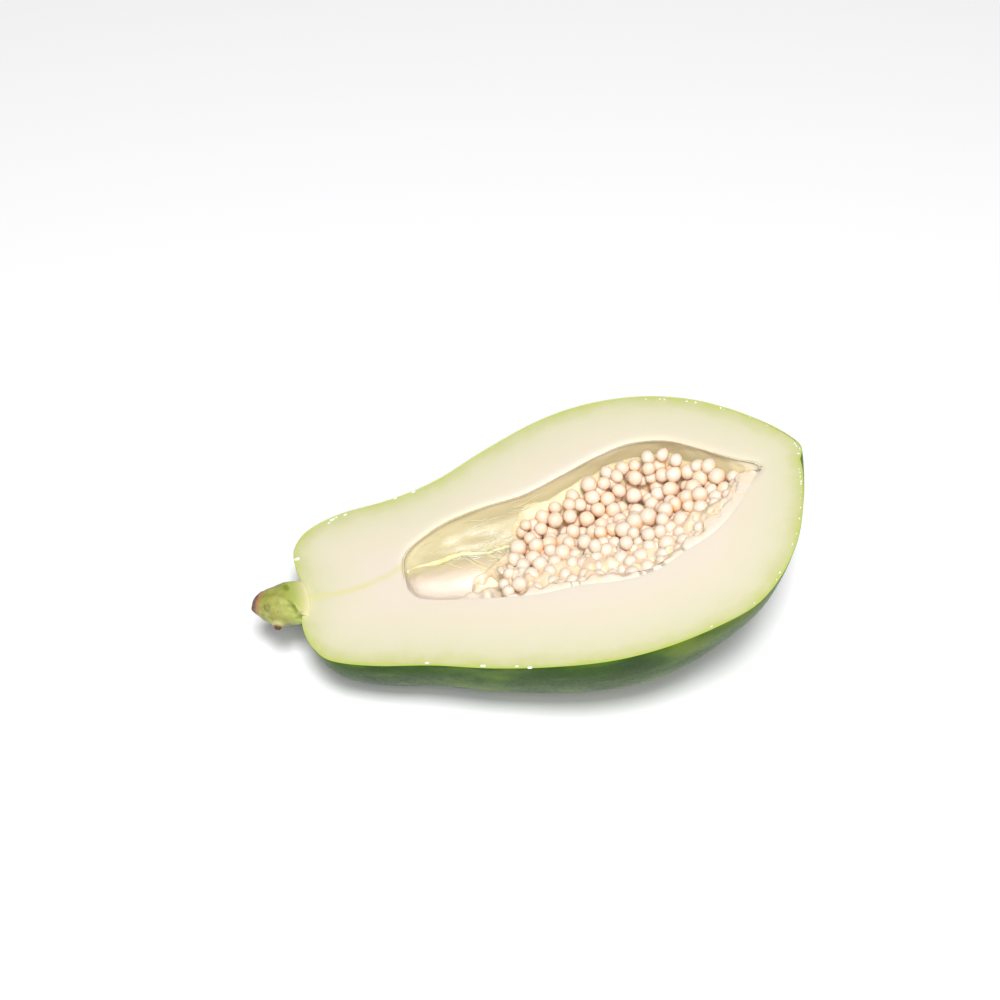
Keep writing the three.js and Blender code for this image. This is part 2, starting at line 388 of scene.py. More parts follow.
def math(material, operation, a, b=0.0):
    return add_node(material, "ShaderNodeMath", {0: a, 1: b}, operation=operation).outputs[0]


def mix(material, factor, *colours):
    """The first colour turned towards the second by the factor"""
    a, b = (screen_colour(c) if isinstance(c, tuple) else c for c in colours)
    node = add_node(material, "ShaderNodeMix", {0: factor, 6: a, 7: b}, data_type="RGBA")
    return node.outputs[2]


def tint(material, base, value, span, shares, colour):
    """The base turned towards a colour, by a share that changes as the value crosses the span"""
    return mix(material, map_range(material, value, *span, *shares), base, colour)


def noise(material, scale, detail, stretch=(1, 1, 1)):
    """Random values from 0 to 1 over the fruit. scale is in bumps per millimetre."""
    place = attribute(material, "fruit", "Vector")
    stretched = add_node(material, "ShaderNodeVectorMath", {0: place, 1: stretch},
                         operation="MULTIPLY").outputs[0]
    node = add_node(material, "ShaderNodeTexNoise", {
        "Vector": stretched, "Scale": scale, "Detail": detail, "Roughness": NOISE_ROUGHNESS,
    })
    return node.outputs["Fac"]


def add_bump(material, height, strength, distance):
    """Fine relief. distance is in metres."""
    node = add_node(material, "ShaderNodeBump", {
        "Height": height, "Strength": strength, "Distance": distance,
    })
    feed(material, "Normal", node.outputs["Normal"])


def finish_surface(material, base, fine, roughness, strength, distance):
    """The colour, and fine relief with the roughness that goes with it"""
    feed(material, "Base Color", base)
    feed(material, "Roughness", map_range(material, fine, 0.3, 0.7, *roughness))
    add_bump(material, fine, strength, distance)


def dress(piece, material):
    piece.data.materials.append(material)


def line_distance(points, line):
    """The distance from each point to an open line, in the plane or in space"""
    best = np.full(len(points), FAR_AWAY)
    for a, b in zip(line, line[1:]):
        edge = b - a
        share = np.clip((points - a) @ edge / max(edge @ edge, TINY), 0, 1)
        best = np.minimum(best, np.linalg.norm(points - a - share[:, None] * edge, axis=1))
    return best


def loop_distance(points, loop):
    """The distance in the plane from each point to a closed loop"""
    return line_distance(points, np.concatenate([loop, loop[:1]]))


def loop_normals(loop):
    """Unit directions in the plane, square to a closed loop"""
    along = np.roll(loop, -1, 0) - np.roll(loop, 1, 0)
    normal = np.stack([along[:, 1], -along[:, 0]], 1)
    return normal / (np.linalg.norm(normal, axis=1)[:, None] + TINY)


def rim_loop(surface):
    """The rim of a surface's lower half, as one closed loop on the cut plane"""
    return np.concatenate([surface[:, 0, :2], surface[-2:0:-1, -1, :2]])


def inside_loop(points, loop):
    x, y = points.T
    odd = np.zeros(len(points), bool)
    for (ax, ay), (bx, by) in zip(loop, np.roll(loop, -1, 0)):
        if ay != by:
            crossing = (ay > y) != (by > y)
            odd ^= crossing & (x < (bx - ax) * (y - ay) / (by - ay) + ax)
    return odd


# The skin: how far below the rim its directions are taken, its waves (height, size and random
# start), and how high above the floor its lowest points stay
RIM_TURN = 0.06
SKIN_WAVES = [(0.28, 26, 11), (0.05, 9, 12)]
FLOOR_GAP = 0.02

# The rounding of the skin's cut edge: how far below the cut it starts, its middle (in from the
# outside, and down from the cut), and how far in it ends
EDGE_START = 0.3
EDGE_MIDDLE = (0.06, 0.08)
EDGE_END = 0.2
UP = np.array([0, 0, 1.0])


def skin_surfaces():
    """The outside of the skin, and the face between skin and flesh, as grids of points"""
    t, phi = surface_grid(SKIN_FAR, SKIN_STEPS_PER_KNOT, SKIN_SIDES)
    outer = skin_point(t, phi)
    inward = inward_at(skin_point, t, np.clip(phi, -pi + RIM_TURN, -RIM_TURN))
    rim = (phi == 0) | (phi == -pi)
    inward[rim, 2] = 0
    inward /= np.linalg.norm(inward, axis=-1)[..., None]
    wave = sum(height * ripples(outer, size, seed) for height, size, seed in SKIN_WAVES)
    below = smoothstep(-outer[..., 2], 0, 6)
    outer = outer + inward * (wave * below)[..., None]
    inner = outer + inward * SKIN_THICKNESS
    return outer, inner


def settle(points):
    """The lowest points pressed flat, just above what the fruit rests on"""
    laid = resting(points) / MM
    lift = np.maximum(FLOOR_GAP - laid[..., 2], 0)
    points = points.copy()
    points[..., 0] += lift * sin(REST_PITCH)
    points[..., 2] += lift * cos(REST_PITCH)
    return points


def make_skin(outer, inner):
    """A thin shell, with its cut edge rounded a little"""
    rims = []
    for side in (0, -1):
        out = outer[:, side]
        step = (inner[:, side] - out) / SKIN_THICKNESS
        rims.append((
            out - EDGE_START * UP,
            out + EDGE_MIDDLE[0] * step - EDGE_MIDDLE[1] * UP,
            out + EDGE_END * step,
        ))
    (far_low, far_edge, far_top), (near_low, near_edge, near_top) = rims
    body = outer[:, 1:-1].copy()
    body[[0, -1]] = far_low[[0, -1]][:, None]
    near_low[[0, -1]] = far_low[[0, -1]]
    far = np.stack([far_top, far_edge, far_low], 1)
    near = np.stack([near_low, near_edge, near_top], 1)
    ring = np.concatenate([far, body, near, inner[:, ::-1], far[:, :1]], 1)
    rows, columns = ring.shape[:2]
    # 0 on the outside, rising over the rounded edge to 1 on the inside
    cut = np.zeros((rows, columns))
    inner_start = columns - 1 - inner.shape[1]
    cut[:, [0, inner_start - 1, columns - 1]] = 0.7
    cut[:, [1, inner_start - 2]] = 0.35
    cut[:, inner_start:columns - 1] = 1
    return new_piece("skin", settle(ring.reshape(-1, 3)), grid_faces(rows, columns),
                     "half_fruit", {"cut": cut.ravel()})


def cut_relief(flat):
    """How far below the cut plane the cut face lies: it is never quite flat"""
    points = np.concatenate([flat, np.zeros((len(flat), 1))], 1)
    return -0.06 - 0.05 * ripples(points, 14, 31)


# The softly rounded edge between the cut face and the cavity
CAVITY_RIM_DROP = 1
CAVITY_RIM_WIDTH = 3.2

# The pale vein from the stalk joint to the cavity, on the cut face
VEIN = np.array([
    [-1, 1.2], [5, 0], [12, -1], [20, -1.6], [28, -0.8], [35, 0.4], [40, 2.4], [44, 4.5],
])

# The mesh of the cut face: rings of corners along both edges, by their distances from them, and
# corners about FACE_SPACING apart between the rings
SKIN_RINGS = (0.3, 0.6, 1, 1.5, 2.1, 2.9, 3.9, 5.2)
CAVITY_RINGS = (0.3, 0.7, 1.2, 1.9, 2.7)
BEYOND_SKIN_RINGS = 6
BEYOND_CAVITY_RINGS = 3.6
FACE_SPACING = 1.7


def face_mesh(outer_loop, cavity_loop):
    """Flat triangles over the cut face, finer towards both its edges"""
    draw = np.random.default_rng(5)
    spans = zip(outer_loop.min(0), outer_loop.max(0))
    x, y = np.meshgrid(*(np.arange(low, high, FACE_SPACING) for low, high in spans))
    x = x + (np.arange(x.shape[0]) % 2)[:, None] * FACE_SPACING / 2
    loose = np.stack([x.ravel(), y.ravel()], 1) + draw.uniform(-0.2, 0.2, (x.size, 2))
    extra = []
    for loop, side, rings in ((outer_loop, 1, SKIN_RINGS), (cavity_loop, -1, CAVITY_RINGS)):
        normal = loop_normals(loop)
        for step in rings:
            line = loop + normal * step * side
            extra.append(line[loop_distance(line, loop) > 0.93 * step])
    between = (loop_distance(loose, outer_loop) > BEYOND_SKIN_RINGS) \
        & (loop_distance(loose, cavity_loop) > BEYOND_CAVITY_RINGS)
    extra = np.concatenate([*extra, loose[between]])

    def on_face(points):
        return inside_loop(points, outer_loop) & ~inside_loop(points, cavity_loop)

    flat = np.concatenate([outer_loop, cavity_loop, extra[on_face(extra)]])
    edges = []
    for first, count in ((0, len(outer_loop)), (len(outer_loop), len(cavity_loop))):
        edges += [(first + k, first + (k + 1) % count) for k in range(count)]
    flat, _, triangles, *_ = delaunay_2d_cdt([Vector(p) for p in flat], edges, [], 0, 1e-6)
    flat = np.array([tuple(p) for p in flat])
    triangles = np.array([f for f in triangles if len(f) == 3])
    return flat, triangles[on_face(flat[triangles].mean(1))]


def make_flesh(inner):
    """Flesh from the skin to the cavity, with the flat cut face between them"""
    t, phi = surface_grid(CAVITY_FAR, WALL_STEPS_PER_KNOT, WALL_SIDES)
    wall = cavity_point(t, phi)
    inward = inward_at(cavity_point, t, phi)
    rough = 0.16 * ripples(wall * (0.25, 1, 1), 1.6, 21) + 0.3 * ripples(wall, 7, 22)
    wall = wall + inward * (rough * smoothstep(-wall[..., 2], 0.2, 3))[..., None]
    outer_loop = rim_loop(inner)
    cavity_loop = rim_loop(wall)
    flat, triangles = face_mesh(outer_loop, cavity_loop)

    def cut_height(points):
        near_cavity = np.clip(1 - loop_distance(points, cavity_loop) / CAVITY_RIM_WIDTH, 0, 1)
        drop = CAVITY_RIM_DROP * (0.05 + 0.95 * smoothstep(points[:, 1], -6, 2))
        return cut_relief(points) - drop * near_cavity ** 2

    face = np.concatenate([flat, cut_height(flat)[:, None]], 1)
    inner = inner.copy()
    for grid in (wall, inner):
        for side in (0, -1):
            grid[:, side, 2] = cut_height(grid[:, side, :2])
        # both ends of each grid are single points
        for end in (0, -1):
            grid[end] = grid[end, 0]

    points = np.concatenate([inner.reshape(-1, 3), wall.reshape(-1, 3), face])
    wall_start = inner.shape[0] * inner.shape[1]
    face_start = wall_start + wall.shape[0] * wall.shape[1]
    faces = [
        *grid_faces(*inner.shape[:2]),
        *grid_faces(*wall.shape[:2], wall_start),
        *(triangles + face_start),
    ]
    joint = bump_at(points, (0, 0, 0), np.array([3.2, 6, 6]))
    rim = np.minimum(loop_distance(points[:, :2], outer_loop), 60)
    rim[:wall_start] = 0
    rim += 7 * joint
    wall_part = slice(wall_start, face_start)
    rim[wall_part] = 40
    on_wall, bowl = np.zeros((2, len(points)))
    on_wall[wall_part] = smoothstep(-points[wall_part, 2], 0.3, 3)
    bowl[wall_part] = smoothstep(-phi.ravel(), radians(48), radians(80))
    vein = line_distance(points[:, :2], VEIN)
    vein[:face_start] = 50
    return new_piece("flesh", settle(points), faces, "half_fruit", {
        "rim": rim, "wall": on_wall, "bowl": bowl, "vein": vein, "joint": joint,
        "deep": np.clip(-points[:, 2] / 16, 0, 1),
    }, crease=radians(40))


def seeded_random(start):
    """The same draws as in the solids"""
    state = start
    full = 0xFFFFFFFF
    while True:
        state = (state + 0x6D2B79F5) & full
        mixed = ((state ^ (state >> 15)) * (1 | state)) & full
        mixed = ((mixed + ((mixed ^ (mixed >> 7)) * (61 | mixed))) & full) ^ mixed
        yield (mixed ^ (mixed >> 14)) / 2 ** 32


def seeds_below_cut(centre):
    """How far below the cut the tops of the seeds stay"""
    share = smoothstep(centre[:, 0], *BARE_SPAN)
    bare = BARE_WALL[0] + (BARE_WALL[1] - BARE_WALL[0]) * share
    return LINING_BELOW_CUT + np.where(centre[:, 1] > BARE_ABOVE_Y, bare, 0)


def seed_places():
    """Centres, inward directions and radii of the seeds"""
    random = seeded_random(SEED_RANDOM_START)
    centres = np.zeros((0, 3))
    radii = np.zeros(0)
    inwards = np.zeros((0, 3))
    for layer in SEED_LAYERS:
        draws = np.array([[next(random) for _ in range(4)] for _ in range(layer["tries"])])
        t = draws[:, 0]
        phi = -pi * draws[:, 1]
        radius = SEED_RADIUS[0] + (SEED_RADIUS[1] - SEED_RADIUS[0]) * draws[:, 2]
        low, high = layer["heights"]
        height = radius * (low + (high - low) * draws[:, 3])
        inward = inward_at(bed_point, t, phi)
        centre = bed_point(t, phi) + inward * height[:, None]
        across = (centre[:, 1] - LINING_START_NEAR[1]) / (LINING_START_FAR[1] - LINING_START_NEAR[1])
        line = LINING_START_NEAR[0] + (LINING_START_FAR[0] - LINING_START_NEAR[0]) * across
        clear = (centre[:, 0] > np.maximum(layer["start_x"], line + radius)) \
            & (centre[:, 2] < -seeds_below_cut(centre) - radius * SEED_LENGTH)
        for k in np.flatnonzero(clear):
            gaps = np.linalg.norm(centres - centre[k], axis=1) / (radii + radius[k])
            reach = gaps.min() if len(gaps) else FAR_AWAY
            if layer["nearest"] < reach <= layer["rooted"]:
                centres = np.vstack([centres, centre[k]])
                inwards = np.vstack([inwards, inward[k]])
                radii = np.append(radii, radius[k])
    return centres, inwards, radii


# The shape of a seed: sides and rings, how far its axis may lean, and how uneven it is
SEED_SIDES = 22
SEED_RINGS = 13
SEED_LEAN = 0.28
SEED_UNEVENNESS = 0.035

# For colours: where the near side's seeds end, and the depths over which the painted shade in the
# gaps deepens
NEAR_MASS_Y = 1
CREVICE_DEPTH = (1, 9)


def make_seeds():
    """Each seed is a smooth bead, a little longer than wide and narrower where it is rooted"""
    centres, inwards, radii = seed_places()
    draw = np.random.default_rng(77)
    theta = np.linspace(0, pi, SEED_RINGS + 1)[:, None]
    unit = turned_body(np.sin(theta) * (1 + 0.1 * np.cos(theta)), np.cos(theta), SEED_SIDES)
    unit = unit.reshape(-1, 3)
    quads = ring_faces(SEED_RINGS + 1, SEED_SIDES)
    parts = []
    tints = []
    for k, (centre, inward, radius) in enumerate(zip(centres, inwards, radii)):
        axes = square_axes(inward + draw.normal(size=3) * SEED_LEAN, draw)
        length = SEED_LENGTH * draw.uniform(0.93, 1.1)
        size = np.array([draw.uniform(0.96, 1.05), draw.uniform(0.96, 1.05), length]) * radius
        bead = uneven((unit * size) @ axes + centre, centre, SEED_UNEVENNESS, 2.4, 100 + k)
        parts.append((bead, quads))
        tints.append(np.full(len(unit), draw.uniform()))
    points, faces = joined_parts(parts)
    owner = np.repeat(np.arange(len(centres)), len(unit))
    # How near each corner comes to another seed, which sets the painted shade in the crevices
    # between seeds
    nearest = np.full(len(points), FAR_AWAY)
    for k, (centre, radius) in enumerate(zip(centres, radii)):
        gap = np.linalg.norm(points - centre, axis=1) - radius
        gap[owner == k] = FAR_AWAY
        nearest = np.minimum(nearest, gap)
    root = ((points - centres[owner]) * inwards[owner]).sum(1) / radii[owner]
    near = smoothstep(NEAR_MASS_Y - centres[owner, 1], 0, 8)
    return new_piece("seeds_fine", points, faces, "seeds", {
        "tint": np.concatenate(tints), "gap": nearest, "root": root, "near": near,
        "deep": smoothstep(-points[:, 2], *CREVICE_DEPTH),
    }), centres, radii


LINING_STEPS_PER_KNOT = 20
LINING_MOUNDS = 110
LINING_DEPTH_IN_WALL = 1.2


def front_and_back(front, back):
    """Rows of corners that run over the front, go back over the back, and close"""
    return np.concatenate([front, back[:, ::-1], front[:, :1]], 1)


def make_lining(centres, radii):
    """Soft white tissue that the seeds grow from: thin on the far wall, and a lumpy mass, flush
    with the cut, on the near one"""
    t = np.linspace(0, 1, (len(CAVITY_FAR) - 1) * LINING_STEPS_PER_KNOT + 1)
    turn = np.linspace(0, 1, (len(BED) - 1) * BED_STEPS_PER_KNOT + 1)
    t, turn = np.meshgrid(t, turn, indexing="ij")
    phi = -pi * turn
    bed = bed_point(t, phi)
    wall = cavity_point(t, phi)
    inward = inward_at(bed_point, t, phi)
    x, y, z = np.moveaxis(bed, -1, 0)
    near = smoothstep(turn, 0.56, 0.7)
    start = 68 + 16 * smoothstep(y, 0, 13) + 8 * smoothstep(y, 12, 24)
    along = x - start + 3 * ripples(bed, 6, 41)
    along += 7 * near * ripples(bed * (1, 0.5, 0.5), 4, 46)
    share = smoothstep(along / (9 + 19 * near), -0.4, 0.6) * smoothstep(1 - t, 0.01, 0.09)
    below = -z + 0.5 * ripples(bed, 5, 42)
    high = np.maximum(smoothstep(below, 2, 12), near)
    shown = share * high
    share = share * high * (1 - 0.5 * smoothstep(0.4 - turn, 0, 0.1))
    rise = np.clip(x - 55 + 9 * ripples(bed * (1, 0.4, 0.4), 3, 48), 0, 100)
    rise = 0.5 * rise ** 2 / (rise + 9)
    thick = np.linalg.norm(bed - wall, axis=-1) + 0.1
    share = np.minimum(share, rise / thick + 3 * (1 - smoothstep(turn, 0.22, 0.36)))
    lift = near * (2.6 + 0.8 * ripples(bed, 3.4, 43)) * smoothstep(x, 64, 98)
    folds = ripples(bed * (1, 0.25, 0.25), 1.8, 47)
    lift += 0.9 * near * folds * smoothstep(-x, -110, -84) + 0.3 * ripples(bed, 1.6, 44)
    draw = np.random.default_rng(61)
    for _ in range(LINING_MOUNDS):
        row = draw.integers(len(t))
        column = int(draw.uniform(0.58, 0.97) * len(turn[0]))
        size = draw.uniform(1.5, 2.6)
        lift = lift + draw.uniform(0.8, 2.2) * bump_at(bed, bed[row, column], size) * near
    front = wall + (bed - wall) * share[..., None]
    front += inward * (lift * share - 0.8 * (1 - shown))[..., None]
    at_rim = near * smoothstep(turn, 0.93, 1) * smoothstep(share, 0, 0.6)
    front -= at_rim[..., None] * inward_at(cavity_point, t, phi) * 0.9
    level = -0.1 - near * np.abs(ripples(bed, 2.6, 45)) * smoothstep(1 - turn, 0.03, 0.2)
    front[..., 2] = np.minimum(front[..., 2], level)
    back = wall - inward * LINING_DEPTH_IN_WALL
    back[..., 2] = np.minimum(back[..., 2], -0.8)
    ring = front_and_back(front, back)
    rows, columns = ring.shape[:2]
    points = ring.reshape(-1, 3)
    # How near each corner comes to a seed, which sets the painted shade between the seeds
    nearest = np.full(len(points), FAR_AWAY)
    for centre, radius in zip(centres, radii):
        nearest = np.minimum(nearest, np.linalg.norm(points - centre, axis=1) - radius)
    thin = 1 - smoothstep(np.linalg.norm(front - wall, axis=-1), 1, 6)
    shares = {"near": near, "high": high, "thin": thin, "bowl": smoothstep(turn, 0.27, 0.44)}
    values = {key: front_and_back(value, value).ravel() for key, value in shares.items()}
    values["gap"] = nearest
    values["deep"] = smoothstep(-points[:, 2], *CREVICE_DEPTH)
    return new_piece("lining", points, grid_faces(rows, columns), "seeds", values)


# The sacs: how many, their sides and rings, where they may hang, and their sizes
SACS = 120
SAC_SIDES = 14
SAC_RINGS = 12
SAC_START_X = 80
SAC_TURNS = (0.57, 0.8)
SAC_WIDTHS = (1.2, 2)
SAC_LENGTHS = (1.5, 2.4)
SAC_LIFTS = (0.8, 2.4)
SACS_BELOW_CUT = 0.4


def make_sacs():
    """Drop-shaped sacs of tissue that hang from the near side's crest into the hollow"""
    draw = np.random.default_rng(303)
    theta = np.linspace(0, pi, SAC_RINGS + 1)[:, None]
    unit = turned_body(np.sin(theta) * (1 + 0.45 * np.cos(theta)), np.cos(theta), SAC_SIDES)
    unit = unit.reshape(-1, 3)
    quads = ring_faces(SAC_RINGS + 1, SAC_SIDES)
    parts = []
    near = []
    while len(parts) < SACS:
        t = np.array([draw.uniform(0.16, 0.9)])
        turn_at = draw.uniform(*SAC_TURNS)
        phi = np.array([-pi * turn_at])
        place = bed_point(t, phi)[0]
        if place[0] < SAC_START_X + 3 * draw.normal():
            continue
        inward = inward_at(bed_point, t, phi)[0]
        down = np.array([0.15 * draw.normal(), 0.8, -0.5]) + 0.3 * draw.normal(size=3)
        axes = square_axes(down - inward * (down @ inward) * 0.7, draw)
        axes *= draw.uniform(*SAC_WIDTHS)
        axes[2] *= draw.uniform(*SAC_LENGTHS)
        centre = place + inward * draw.uniform(*SAC_LIFTS)
        sac = uneven(unit @ axes + centre, centre, 0.05, 1.6, 400 + len(parts))
        if sac[:, 2].max() > -SACS_BELOW_CUT:
            continue
        parts.append((sac, quads))
        near.append(np.full(len(unit), smoothstep(turn_at, 0.45, 0.62)))
    points, faces = joined_parts(parts)
    return new_piece("pulp_sacs", points, faces, "seeds", {
        "near": np.concatenate(near), "gap": 9, "high": 1, "thin": 0, "bowl": 1,
        "deep": smoothstep(-points[:, 2], *CREVICE_DEPTH),
    })


def tube(path, radii, sides):
    """Points and faces of a thin round strand along a path, closed at both ends"""
    along = np.gradient(path, axis=0)
    along /= np.linalg.norm(along, axis=1)[:, None]
    side = np.cross(along, (0.1, 0.2, 1))
    side /= np.linalg.norm(side, axis=1)[:, None]
    other = np.cross(side, along)
    turn = np.linspace(0, 2 * pi, sides, endpoint=False)[None, :, None]
    ring = side[:, None] * np.cos(turn) + other[:, None] * np.sin(turn)
    points = path[:, None] + ring * radii[:, None, None]
    last = (len(path) - 1) * sides
    faces = [*ring_faces(len(path), sides), range(sides), range(last + sides - 1, last - 1, -1)]
    return points.reshape(-1, 3), faces


def wall_path(x, phi, height):
    """Points above the cavity's wall by height, at x along the fruit and phi around it"""
    table = np.linspace(0, 1, 400)
    middle = (side_point(CAVITY_FAR, table)[:, 0] + side_point(CAVITY_NEAR, table)[:, 0]) / 2
    t = np.interp(x, middle, table)
    return cavity_point(t, phi) + inward_at(cavity_point, t, phi) * height[..., None]


RIDGE_SIDES = 14
LONG_FIBRES = 26
SHORT_FIBRES = 16
FIBRE_SIDES = 6


def make_strands():
    """The pale ridge along the bare end of the cavity, and fine fibres beside it"""
    draw = np.random.default_rng(91)
    x = np.linspace(42.5, 104, 90)
    phi = radians(-43) - radians(13) * (x - 42) / 60 + 0.03 * np.sin(x / 3.1)
    size = (0.5 + 0.8 * smoothstep(x, 40, 54)) * (1 - 0.5 * smoothstep(x, 60, 104))
    parts = [tube(wall_path(x, phi, -0.4 * size), size, RIDGE_SIDES)]
    for _ in range(LONG_FIBRES):
        start = draw.uniform(48, 92)
        end = start + draw.uniform(12, 34)
        x = np.linspace(start, end, 36)
        way = (x - start) / (end - start)
        begin = radians(-45 - 13 * (start - 42) / 60)
        turned = radians(draw.uniform(-62, 14)) * way ** 1.4
        phi = begin + turned + 0.04 * np.sin(x / draw.uniform(1.5, 4) + draw.uniform(0, 6))
        size = draw.uniform(0.12, 0.3) * np.sin(pi * np.clip(way, 0.03, 0.97)) ** 0.5
        parts.append(tube(wall_path(x, phi, 0.1 + 0.5 * way * draw.uniform()), size, FIBRE_SIDES))
    for _ in range(SHORT_FIBRES):
        start = draw.uniform(44, 88)
        x = np.linspace(start, start + draw.uniform(8, 26), 26)
        phi = radians(draw.uniform(-38, -8)) + 0.03 * np.sin(x / draw.uniform(2, 5))
        size = draw.uniform(0.1, 0.2) * np.sin(np.linspace(0.1, pi - 0.1, 26)) ** 0.5
        parts.append(tube(wall_path(x, phi, 0 * x), size, FIBRE_SIDES))
    points, faces = joined_parts(parts)
    return new_piece("strands", points, faces, None)


def strand_material():
    material = new_material("pale_strand", Roughness=0.45, Subsurface_Weight=0.6,
                            Subsurface_Scale=0.002, Subsurface_Radius=(1, 0.75, 0.35))
    feed(material, "Base Color", ramp(material, noise(material, 0.3, 3), {
        0.35: (226, 210, 144), 0.55: (234, 221, 176), 0.7: (240, 229, 200),
    }))
    return material


# Drops of latex on the cut: x and y on the cut face, length and width
LATEX_DROPS = [
    (16.7, 36.3, 2, 1), (18.6, 36.9, 1.1, 0.8), (22.3, 36.9, 1.8, 0.9), (44, 38, 1.6, 0.9),
    (51.8, 38.7, 1.9, 1), (44.3, -45.4, 1.9, 1), (65, -53.6, 2.2, 1),
    (77.5, -58, 1.4, 0.8), (82.3, -60.2, 2, 1), (-0.1, 21.5, 1.4, 2.2), (15.2, 35.2, 1, 0.7),
]
LATEX_SPECKS = 34
SPECKS_START_X = 150
DROP_RINGS = 6
DROP_SIDES = 16
DROP_HEIGHT = 0.35
DROP_SKIRT = 0.8


def make_latex(rim):
    """Small milky drops where the cut skin has bled"""
    draw = np.random.default_rng(17)
    drops = list(LATEX_DROPS)
    inward = loop_normals(rim)
    for k in draw.choice(np.flatnonzero(rim[:, 0] > SPECKS_START_X), LATEX_SPECKS):
        x, y = rim[k] + inward[k] * draw.uniform(0.2, 1.4)
        size = draw.uniform(0.3, 0.7)
        drops.append((x, y, size * draw.uniform(1, 1.8), size))
    theta = np.linspace(0, pi / 2, DROP_RINGS)[:, None]
    dome = turned_body(np.sin(theta), np.cos(theta), DROP_SIDES)
    skirt = dome[-1:] * (1, 1, 0) - (0, 0, DROP_SKIRT)
    dome = np.concatenate([dome, skirt]).reshape(-1, 3)
    bottom = range(DROP_RINGS * DROP_SIDES, (DROP_RINGS + 1) * DROP_SIDES)
    faces = [*ring_faces(DROP_RINGS + 1, DROP_SIDES), bottom]
    parts = []
    for x, y, length, width in drops:
        k = np.argmin(np.linalg.norm(rim - (x, y), axis=1))
        normal = np.append(inward[k], 0)
        along = np.array([-normal[1], normal[0], 0])
        high = DROP_HEIGHT * min(width, 1)
        drop = dome @ np.stack([along * length / 2, normal * width / 2, (0, 0, high)])
        drop *= (1 + 0.12 * ripples(drop + (x, y, 0), 0.8, 200 + len(parts), 8))[:, None]
        parts.append((drop + (x, y, -0.05), faces))
    points, faces = joined_parts(parts)
    return new_piece("latex_drops", points, faces, None)


def latex_material():
    material = new_material("milky_latex", Roughness=0.12, Subsurface_Weight=0.5,
                            Subsurface_Scale=0.001)
    feed(material, "Base Color", ramp(material, noise(material, 0.8, 2), {
        0.4: (244, 244, 232), 0.6: (252, 252, 248),
    }))
    return material


def make_stalk():
    """The stub: fluted, with leaf scars and a corky tip, sloping down to the cut face"""
    line = side_point(STALK_LINE, np.linspace(0, 1, STALK_ROWS))
    turn = np.linspace(0, 2 * pi, STALK_SIDES + 1)
    x, middle, radius = (np.repeat(line[:, k:k + 1], len(turn), 1) for k in range(3))
    radius = radius * (1 + STALK_FLUTE_HEIGHT * np.cos(STALK_FLUTES * turn + 0.6))
    points = np.stack([x, middle + radius * np.cos(turn), radius * np.sin(turn)], -1)
    wave = 0.22 * ripples(points, 3.2, 51) + 0.08 * ripples(points, 1.2, 52)
    outward = np.stack([0 * x, np.cos(turn) + 0 * x, np.sin(turn) + 0 * x], -1)
    points += outward * (wave * np.minimum(radius / 3, 1))[..., None]
    shoulder_end = SHOULDER_SPAN[1] - SHOULDER_ROUNDING * (points[..., 1] / SHOULDER_HEIGHT) ** 2
    slope = np.clip((x - SHOULDER_SPAN[0]) / (shoulder_end - SHOULDER_SPAN[0]), 0, 1)
    top = SHOULDER_HEIGHT * (0.5 + 0.5 * np.cos(pi * slope)) + 0.1
    top -= 0.7 * smoothstep(slope, 0.93, 1)
    over = points[..., 2] - top
    points[..., 2] -= 0.5 * (over + np.sqrt(over ** 2 + 0.5)) * (slope > 0) * smoothstep(x, -7, -5)
    knob = np.linalg.norm(points - KNOB_PLACE, axis=-1)
    rise = 3.4 * np.exp(-(knob / 2) ** 2) - 0.9 * np.exp(-(knob / 0.7) ** 2)
    points += rise[..., None] * KNOB_WAY
    knob = np.minimum(knob, 20)
    ring = np.linalg.norm(points - RING_SCAR, axis=-1) + 0.35 * ripples(points, 0.9, 53)
    groove = line_distance(points.reshape(-1, 3), STALK_GROOVE).reshape(x.shape)
    groove += 0.5 * ripples(points, 1.1, 54)
    dent = bump_at(points, STALK_DENT, np.array([1, 1.6, 1.6]))
    sink = 0.35 * np.exp(-((ring - 1.3) / 0.5) ** 2)
    sink = sink + 0.9 * np.exp(-(groove / 1.3) ** 2) + 0.6 * dent
    points -= outward * sink[..., None]
    marks = sum(bump_at(points, place, size) for place, size in STALK_MARKS)
    values = {
        "knob": knob, "ring": np.minimum(ring, 20), "groove": groove, "dent": dent,
        "marks": marks, "end": points @ STALK_END_WAY, "slope": slope,
    }
    values = {key: value.ravel() for key, value in values.items()}
    faces = grid_faces(STALK_ROWS, len(turn))
    return new_piece("stalk_fine", points.reshape(-1, 3), faces, "stalk", values)


def blossom_share(material):
    """A little more towards the blossom end, where the skin is paler"""
    place = add_node(material, "ShaderNodeSeparateXYZ", {
        "Vector": attribute(material, "fruit", "Vector"),
    })
    return map_range(material, place.outputs["X"], 100, 190, 0.02, 0.12)


def skin_material():
    material = new_material("green_skin", Roughness=0.36, Specular_IOR_Level=0.06)
    patches = math(material, "ADD", noise(material, 0.035, 3), blossom_share(material))
    streaks = noise(material, 0.16, 4, stretch=(0.25, 1, 1))
    specks = noise(material, 1.6, 2)
    base = ramp(material, patches, {
        0.3: (36, 62, 14), 0.52: (52, 83, 18), 0.72: (98, 120, 30),
    })
    base = tint(material, base, streaks, (0.45, 0.75), (0, 0.5), (88, 118, 36))
    base = tint(material, base, specks, (0.62, 0.74), (0, 0.35), (122, 146, 58))
    rim = ramp(material, "cut", {
        0: (74, 108, 32), 0.35: (138, 168, 54), 0.75: (186, 200, 96), 1: (194, 202, 124),
    })
    base = tint(material, base, "cut", (0, 0.3), (0, 1), rim)
    finish_surface(material, base, noise(material, 0.7, 5), (0.3, 0.44), 0.25, 0.0003)
    return material


